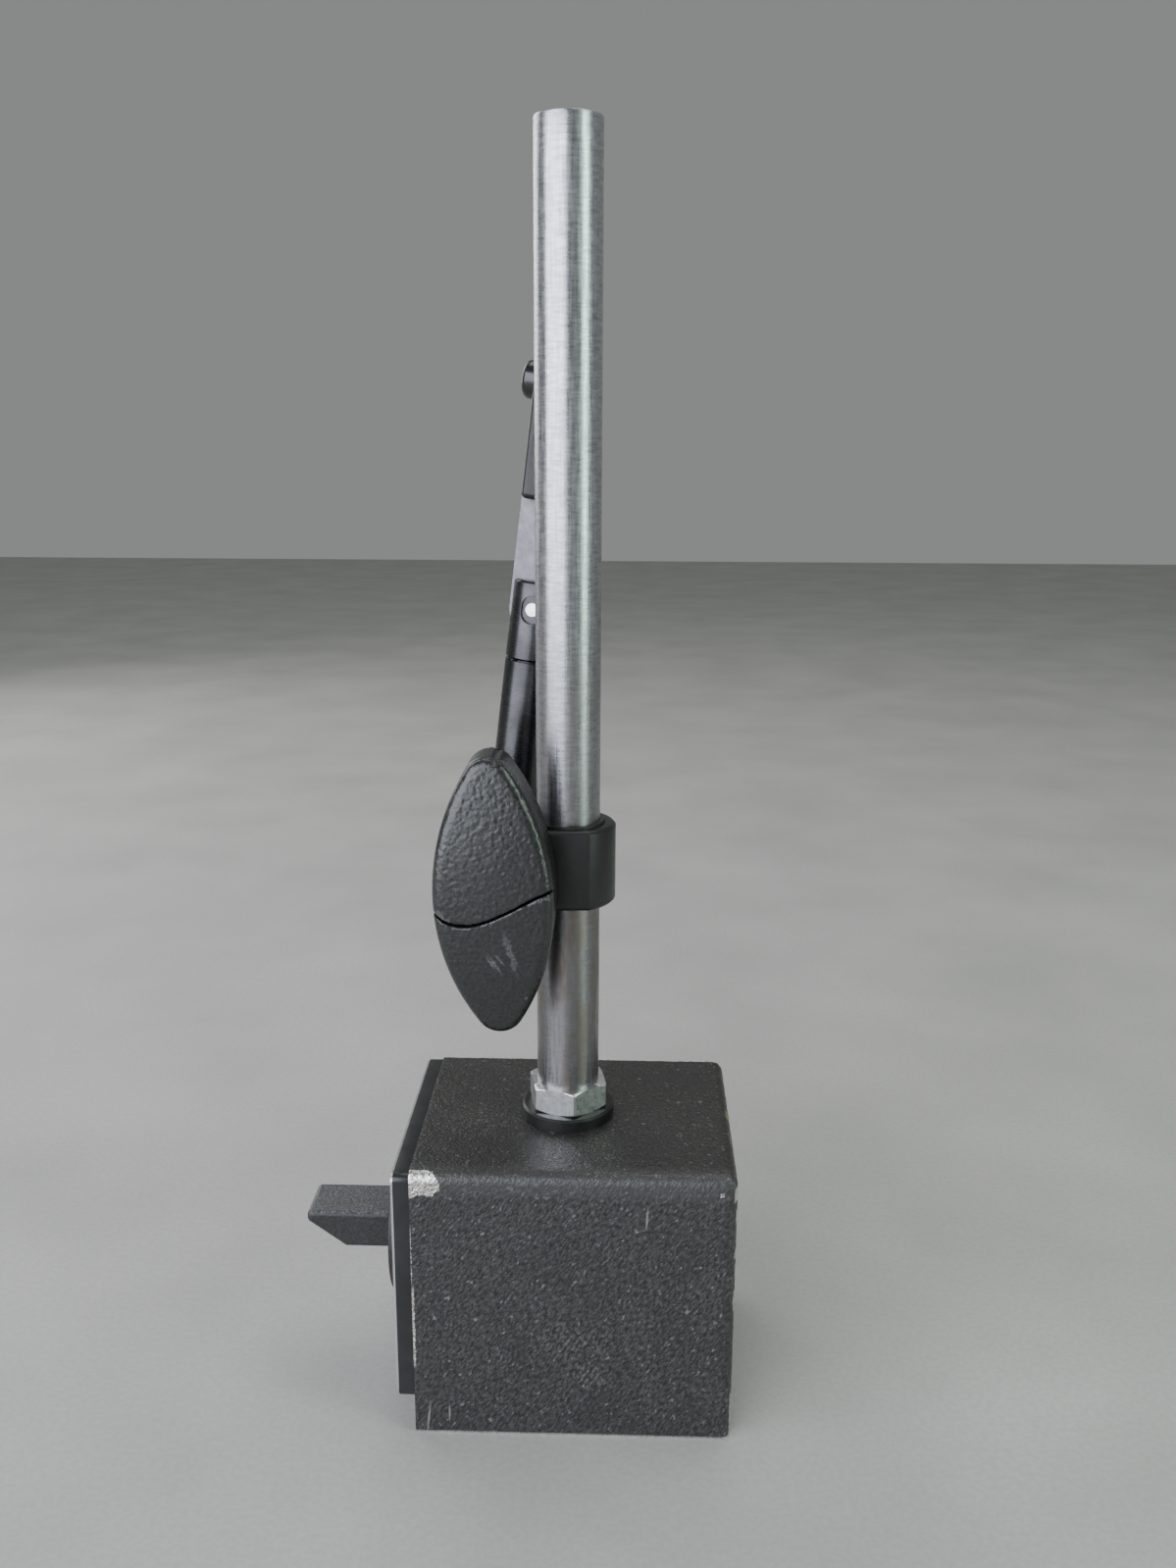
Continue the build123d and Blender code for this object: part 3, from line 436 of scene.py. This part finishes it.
FINISH = {
    "block_paint": hammered_paint(),
    "spacer_brass": plain_metal("spacer_brass", (0.72, 0.53, 0.26)),
    "plate_black": satin_black("plate_black", (0.013, 0.013, 0.0145), (0.26, 0.38), 0.03),
    "label_aluminium": plain_metal(
        "label_aluminium", (0.82, 0.83, 0.84), (0.28, 0.4), (5.0, 0.4, 5.0)),
    "fastener_zinc": zinc(),
    "bush_bronze": plain_metal("bush_bronze", (0.58, 0.40, 0.22)),
    "pin_steel": plain_metal("pin_steel", (0.82, 0.83, 0.86), (0.12, 0.2)),
    "shaft_steel": plain_metal("shaft_steel", (0.60, 0.60, 0.61), (0.25, 0.38), (6.0, 0.6, 0.6)),
    "shoe_iron": plain_metal("shoe_iron", (0.40, 0.40, 0.41), (0.4, 0.55)),
    "magnet": plain_dull("magnet_ceramic", (0.045, 0.045, 0.048)),
    "grip_plastic": grip_plastic(),
    "black_steel": satin_black("black_steel"),
    "post_steel": ground_steel(),
    "liner_plastic": plain_dull("liner_plastic", (0.02, 0.02, 0.02), (0.4, 0.5)),
    "knob_plastic": leather_plastic("knob_leather", (0.24, 0.38), 0.05),
    "arm_steel": dark_nickel(),
    "link_steel": satin_steel(),
}


# ---------------------------------------------------------------------------
# Pieces
# ---------------------------------------------------------------------------
def body_of(node):
    """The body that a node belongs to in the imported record."""
    for name, members in frame["record"]["behaviour"]["bodies"].items():
        if node in members:
            return name
    raise ValueError(node)


def slot_of(node):
    """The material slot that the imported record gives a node."""
    for row in frame["record"]["subparts"]:
        if row["node"] == node:
            return row["material_slot"]
    raise ValueError(node)


def piece(name, mesh, *replaced, smooth=35):
    """An object made from the mesh, which stands for the replaced nodes and rides with them."""
    made = bpy.data.objects.new(name, mesh)
    bpy.context.scene.collection.objects.link(made)
    mesh.shade_smooth()
    mesh.set_sharp_from_angle(angle=radians(smooth))
    made.data.materials.clear()
    made.data.materials.append(FINISH[slot_of(replaced[0])])
    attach(made, body_of(replaced[0]))
    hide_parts(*replaced)
    return made


def mesh_of(bm, name):
    """The finished mesh, with its faces turned outwards."""
    bmesh.ops.recalc_face_normals(bm, faces=bm.faces)
    mesh = bpy.data.meshes.new(name)
    bm.to_mesh(mesh)
    bm.free()
    return mesh


WELD = 0.002


def evaluated_copy(name, source, add_modifiers):
    """The source's mesh in millimetres, with its split edges joined and the modifiers applied."""
    bm = bmesh.new()
    bm.from_mesh(source)
    bmesh.ops.scale(bm, vec=(1 / MM, 1 / MM, 1 / MM), verts=bm.verts)
    bmesh.ops.remove_doubles(bm, verts=bm.verts, dist=WELD)
    joined = mesh_of(bm, name)
    carrier = bpy.data.objects.new(name + "_carrier", joined)
    bpy.context.scene.collection.objects.link(carrier)
    add_modifiers(carrier)
    ready = carrier.evaluated_get(bpy.context.evaluated_depsgraph_get())
    result = bpy.data.meshes.new_from_object(ready)
    bpy.data.objects.remove(carrier)
    return result


def spread(value, low, high):
    """0 below low, 1 above high, and smooth between."""
    t = min(max((value - low) / (high - low), 0.0), 1.0)
    return t * t * (3 - 2 * t)


# Painted block: one coat over both poles, in a fine grid raised and dimpled like the real paint
BLOCK_EDGE = 2.0
FOOT_CHAMFER = 0.5
VEE_DEPTH = 7.0
SLOT_HALF = 1.5
SLOT_TOP = 8.0
GRID = 0.42
EDGE_STEPS = 6
COAT = 0.07
DIMPLE = 0.11
DIMPLE_ACROSS = 0.55
DIMPLE_DEEP = 0.6
DIMPLE_ALONG = 1.0
WAVE = 0.03
WAVE_SIZE = 2.3


def run(start, end, step):
    """Evenly spaced values from start to end, both included."""
    count = max(1, round(abs(end - start) / step))
    return [start + (end - start) * i / count for i in range(count + 1)]


def block_section(inset):
    """Half outline of the painted sides and top, from the front foot to the middle of the top."""
    half_width = BLOCK_HIGH.y
    radius = BLOCK_EDGE - inset
    points = [(-half_width + inset, z) for z in run(FOOT_CHAMFER, BLOCK_HIGH.z - BLOCK_EDGE, GRID)]
    for i in range(1, EDGE_STEPS):
        angle = pi / 2 * i / EDGE_STEPS
        y = -half_width + BLOCK_EDGE - radius * cos(angle)
        points.append((y, BLOCK_HIGH.z - BLOCK_EDGE + radius * sin(angle)))
    points += [(y, BLOCK_HIGH.z - inset) for y in run(-half_width + BLOCK_EDGE, 0, GRID)]
    return points


def coat_height(at, normal):
    """Outward lift of the paint at a point: nothing on the bare underside."""
    if normal.z < -0.3:
        return 0.0
    along = at.x * sin(GRAIN_LEAN) + at.z * cos(GRAIN_LEAN)
    over = at.x * cos(GRAIN_LEAN) - at.z * sin(GRAIN_LEAN)
    dimple_at = Vector((over / DIMPLE_ACROSS, at.y / DIMPLE_DEEP, along / DIMPLE_ALONG))
    coarse = noise.noise(dimple_at)
    broad = noise.noise(at / WAVE_SIZE)
    lift = COAT + DIMPLE * coarse + WAVE * broad
    return lift * spread(at.z, 0.2, 1.0) * spread(at.x - BLOCK_LOW.x, -0.1, 0.5)


def block_rows(bm):
    """Outlines of the block from its left end to its rounded right end."""
    lengths = [(x, 0.0) for x in run(BLOCK_LOW.x, BLOCK_HIGH.x - BLOCK_EDGE, GRID)]
    for i in range(1, EDGE_STEPS + 1):
        angle = pi / 2 * i / EDGE_STEPS
        x = BLOCK_HIGH.x - BLOCK_EDGE + BLOCK_EDGE * sin(angle)
        lengths.append((x, BLOCK_EDGE * (1 - cos(angle))))
    rows = []
    for x, inset in lengths:
        foot = [(-SLOT_HALF, SLOT_TOP), (-SLOT_HALF, VEE_DEPTH - SLOT_HALF), (-VEE_DEPTH, 0.0)]
        foot += [(-BLOCK_HIGH.y + inset + FOOT_CHAMFER, 0.0)]
        half = foot + block_section(inset)
        outline = half + [(-y, z) for y, z in reversed(half[:-1])]
        rows.append([bm.verts.new((x, y, z)) for y, z in outline])
    return rows


def bridge(bm, rows):
    """Faces between each closed row of points and the next."""
    count = len(rows[0])
    for a, b in zip(rows, rows[1:]):
        for i in range(count):
            j = (i + 1) % count
            bm.faces.new((a[i], a[j], b[j], b[i]))


def cut_in_grid(bm, face, spans):
    """Cuts a flat end face along each axis's span, so that its paint can be dimpled too."""
    end_faces = [face]
    for axis, low, high in spans:
        for value in run(low, high, 2 * GRID)[1:-1]:
            at = Vector((0, 0, 0))
            at[axis] = value
            normal = Vector((0, 0, 0))
            normal[axis] = 1
            geometry = end_faces + list({e for f in end_faces for e in f.edges})
            cut = bmesh.ops.bisect_plane(bm, geom=geometry, plane_co=at, plane_no=normal, dist=1e-5)
            end_faces = [f for f in cut["geom"] if isinstance(f, bmesh.types.BMFace)]


def painted_block():
    """Both poles under one coat of paint, whose faces are dimpled in relief."""
    bm = bmesh.new()
    rows = block_rows(bm)
    bridge(bm, rows)
    bm.faces.new(rows[0])
    right_end = bm.faces.new(rows[-1])
    right_end.normal_update()
    flat = BLOCK_HIGH.y - BLOCK_EDGE
    cut_in_grid(bm, right_end, ((1, -flat, flat), (2, 0.0, BLOCK_HIGH.z - BLOCK_EDGE)))
    bmesh.ops.recalc_face_normals(bm, faces=bm.faces)
    bm.normal_update()
    for vert in bm.verts:
        vert.co += vert.normal * coat_height(vert.co.copy(), vert.normal)
    bmesh.ops.scale(bm, vec=(MM, MM, MM), verts=bm.verts)
    mesh = mesh_of(bm, "painted_block")
    return piece("painted_block", mesh, "front_pole", "rear_pole", smooth=60)


# Post: turned all round in narrow strips, with its small top chamfer
POST_SIDES = 160
POST_STRIP = 8.0
POST_CHAMFER = 0.4
POST_SHOULDER = 0.12
STUD_R = 4.0


def circle(radius, z, sides):
    """Points evenly round the post's axis."""
    turns = [2 * pi * i / sides for i in range(sides)]
    return [(POST_X + radius * cos(turn), radius * sin(turn), z) for turn in turns]


def round_post():
    """The post on its thinner stud, which ends at the nut."""
    nut_top = corners("lock_nut")[1].z
    top = POST_HIGH.z
    profile = [(STUD_R, POST_LOW.z), (STUD_R, nut_top), (POST_R, nut_top)]
    profile += [(POST_R, z) for z in run(nut_top, top - POST_CHAMFER, POST_STRIP)[1:]]
    profile += [(POST_R - POST_SHOULDER, top - POST_SHOULDER), (POST_R - POST_CHAMFER, top)]
    bm = bmesh.new()
    rows = [[bm.verts.new(at) for at in circle(r, z, POST_SIDES)] for r, z in profile]
    bridge(bm, rows)
    bm.faces.new(rows[0])
    bm.faces.new(rows[-1])
    bmesh.ops.scale(bm, vec=(MM, MM, MM), verts=bm.verts)
    return piece("ground_post", mesh_of(bm, "ground_post"), "post")


# Lock knob: remeshed finely, with the leather grain as real relief
KNOB_VOXEL = 0.25
KNOB_GRAIN = 0.055
GRAIN_COARSE = 0.62
GRAIN_FINE = 0.3
NOTCH_LEFT = -0.2
NOTCH_WIDTH = 1.5
NOTCH_DEPTH = 0.35


def leather(node):
    """The knob's body or cap with a grained front, and a shallow notch in its smooth top rim."""
    def remesh(carrier):
        fine = carrier.modifiers.new("fine", "REMESH")
        fine.mode = "VOXEL"
        fine.voxel_size = KNOB_VOXEL

    mesh = evaluated_copy(node, nodes[node].data, remesh)
    low, high = corners("lock_knob")
    tip = Vector(((low.x + high.x) / 2 + NOTCH_LEFT, low.y, high.z))
    normals = [vert.normal.copy() for vert in mesh.vertices]
    for vert, normal in zip(mesh.vertices, normals):
        at = vert.co.copy()
        lift = noise.noise(at / GRAIN_COARSE) + 0.5 * noise.noise(at / GRAIN_FINE)
        front = spread(-normal.y, 0.35, 0.75)
        vert.co += normal * lift * KNOB_GRAIN * front
        notch_end = tip.x + NOTCH_WIDTH
        beside = spread(at.x - tip.x, 0.0, 0.25) * spread(notch_end - at.x, 0.0, 0.9)
        rim = spread(at.z - tip.z, -2.5, -1.2) * spread(normal.z, 0.3, 0.7)
        vert.co.z -= NOTCH_DEPTH * beside * rim
    mesh.transform(Matrix.Scale(MM, 4))
    return piece(node + "_grain", mesh, node, smooth=50)


# Nut: each ring follows the hexagon, held in by the cones of its two crowns
NUT_SIDES = 252
NUT_APOTHEM = 7.0
NUT_TURN = radians(41)
NUT_SLOPE = 1 / tan(radians(22))
NUT_TOP_FACE = NUT_APOTHEM + 0.35
NUT_FOOT_FACE = NUT_APOTHEM + 0.1
NUT_ROUND = 0.16
NUT_BORE = STUD_R + 0.02
NUT_CROWN_ROWS = (0.0, 0.08, 0.16, 0.28, 0.44)
NUT_FLAT_FROM = 0.7
NUT_STEP = 0.4


def least(values, blend):
    """The least of the values, with a smooth change from one to the next."""
    result = values[0]
    for value in values[1:]:
        h = min(max(0.5 + 0.5 * (value - result) / blend, 0.0), 1.0)
        result = value * (1 - h) + result * h - blend * h * (1 - h)
    return result


def nut_ring(z, low, high):
    """The nut's outline at one height between its foot and its top."""
    ring = []
    for i in range(NUT_SIDES):
        angle = 2 * pi * i / NUT_SIDES
        flat = NUT_APOTHEM / cos((angle - NUT_TURN) % (pi / 3) - pi / 6)
        top_limit = NUT_TOP_FACE + (high - z) * NUT_SLOPE
        foot_limit = NUT_FOOT_FACE + (z - low) * NUT_SLOPE
        radius = least([flat, top_limit, foot_limit], NUT_ROUND)
        ring.append((POST_X + radius * cos(angle), radius * sin(angle), z))
    return ring


def crowned_nut():
    """The hexagon nut on the post's stud."""
    corner_low, corner_high = corners("lock_nut")
    low, high = corner_low.z, corner_high.z
    heights = [low + up for up in NUT_CROWN_ROWS]
    heights += run(low + NUT_FLAT_FROM, high - NUT_FLAT_FROM, NUT_STEP)
    heights += [high - down for down in reversed(NUT_CROWN_ROWS)]
    rings = [circle(NUT_BORE, low, NUT_SIDES)]
    rings += [nut_ring(z, low, high) for z in heights]
    rings += [circle(NUT_BORE, high, NUT_SIDES)]
    bm = bmesh.new()
    rows = [[bm.verts.new(at) for at in ring] for ring in rings]
    bridge(bm, rows + rows[:1])
    bmesh.ops.scale(bm, vec=(MM, MM, MM), verts=bm.verts)
    return piece("crowned_nut", mesh_of(bm, "crowned_nut"), "lock_nut", smooth=50)


# Pieces whose edges are softened by a small bevel on a copy of the CAD mesh
FLAT_WITHIN = radians(0.6)
SHARP_FROM = radians(24)
BEVEL_SEGMENTS = 3
COLLAR_BEVEL = 0.4
PLATE_BEVEL = 0.3


def softened(node, width):
    """The node's mesh with its flat faces joined and its sharp edges rounded."""
    def bevel(carrier):
        planar = carrier.modifiers.new("planar", "DECIMATE")
        planar.decimate_type = "DISSOLVE"
        planar.angle_limit = FLAT_WITHIN
        rounded = carrier.modifiers.new("rounded", "BEVEL")
        rounded.width = width
        rounded.segments = BEVEL_SEGMENTS
        rounded.limit_method = "ANGLE"
        rounded.angle_limit = SHARP_FROM
        rounded.use_clamp_overlap = True

    mesh = evaluated_copy(node, nodes[node].data, bevel)
    mesh.transform(Matrix.Scale(MM, 4))
    return piece(node + "_soft", mesh, node)


painted_block()
round_post()
for node in ("lock_knob", "knob_cap"):
    leather(node)
crowned_nut()
softened("clamp_collar", COLLAR_BEVEL)
softened("end_plate", PLATE_BEVEL)

for name, node in nodes.items():
    node.data.materials.clear()
    node.data.materials.append(FINISH[slot_of(name)])


# ---------------------------------------------------------------------------
# Stage: pale floor and soft lights
# ---------------------------------------------------------------------------
LIGHTS_AIM = Vector((0, 0, 0.12))
FLOOR_SIZE = 4
WORLD_STRENGTH = 0.55


def area_light(name, azimuth, height, distance, size, power, color=(1, 1, 1)):
    """A soft panel: azimuth 0 is in front, and it grows to the right."""
    data = bpy.data.lights.new(name, "AREA")
    data.shape = "RECTANGLE"
    data.size, data.size_y = size
    data.energy = power
    data.color = color
    light = bpy.data.objects.new(name, data)
    turn = radians(azimuth)
    at = Vector((distance * sin(turn), -distance * cos(turn), height))
    light.location = at
    light.rotation_euler = (LIGHTS_AIM - at).to_track_quat("-Z", "Y").to_euler()
    bpy.context.scene.collection.objects.link(light)


def make_stage():
    """The floor, the plain grey surroundings and four soft panels."""
    bpy.ops.mesh.primitive_plane_add(size=FLOOR_SIZE)
    floor = bpy.context.object
    floor.name = "floor"
    g = Graph("floor", (0.44, 0.44, 0.43), 0.6)
    shade = g.mix(g.ramp(g.noise(60, 4.0), 0.3, 0.7), (0.39, 0.38, 0.368), (0.47, 0.458, 0.443))
    weave = g.ramp(g.noise(1.2, 2.0), 0.3, 0.7, 0.0, 0.25)
    g.set("Base Color", g.mix(weave, shade, (0.24, 0.24, 0.23)))
    floor.data.materials.append(g.material)
    world = bpy.data.worlds.new("world")
    world.use_nodes = True
    background = world.node_tree.nodes["Background"]
    background.inputs[0].default_value = (0.45, 0.475, 0.46, 1)
    background.inputs[1].default_value = WORLD_STRENGTH
    bpy.context.scene.world = world
    area_light("window", -42, 0.42, 0.95, (1.3, 0.9), 19, (0.87, 0.91, 1.0))
    area_light("behind_left", -136, 0.46, 0.8, (0.5, 0.6), 2.6)
    area_light("lamp_right", 61, 0.40, 0.8, (0.24, 0.8), 3.6, (0.78, 1.0, 0.86))
    area_light("overhead", 150, 0.95, 0.25, (0.6, 0.6), 3.0)


make_camera()
make_stage()
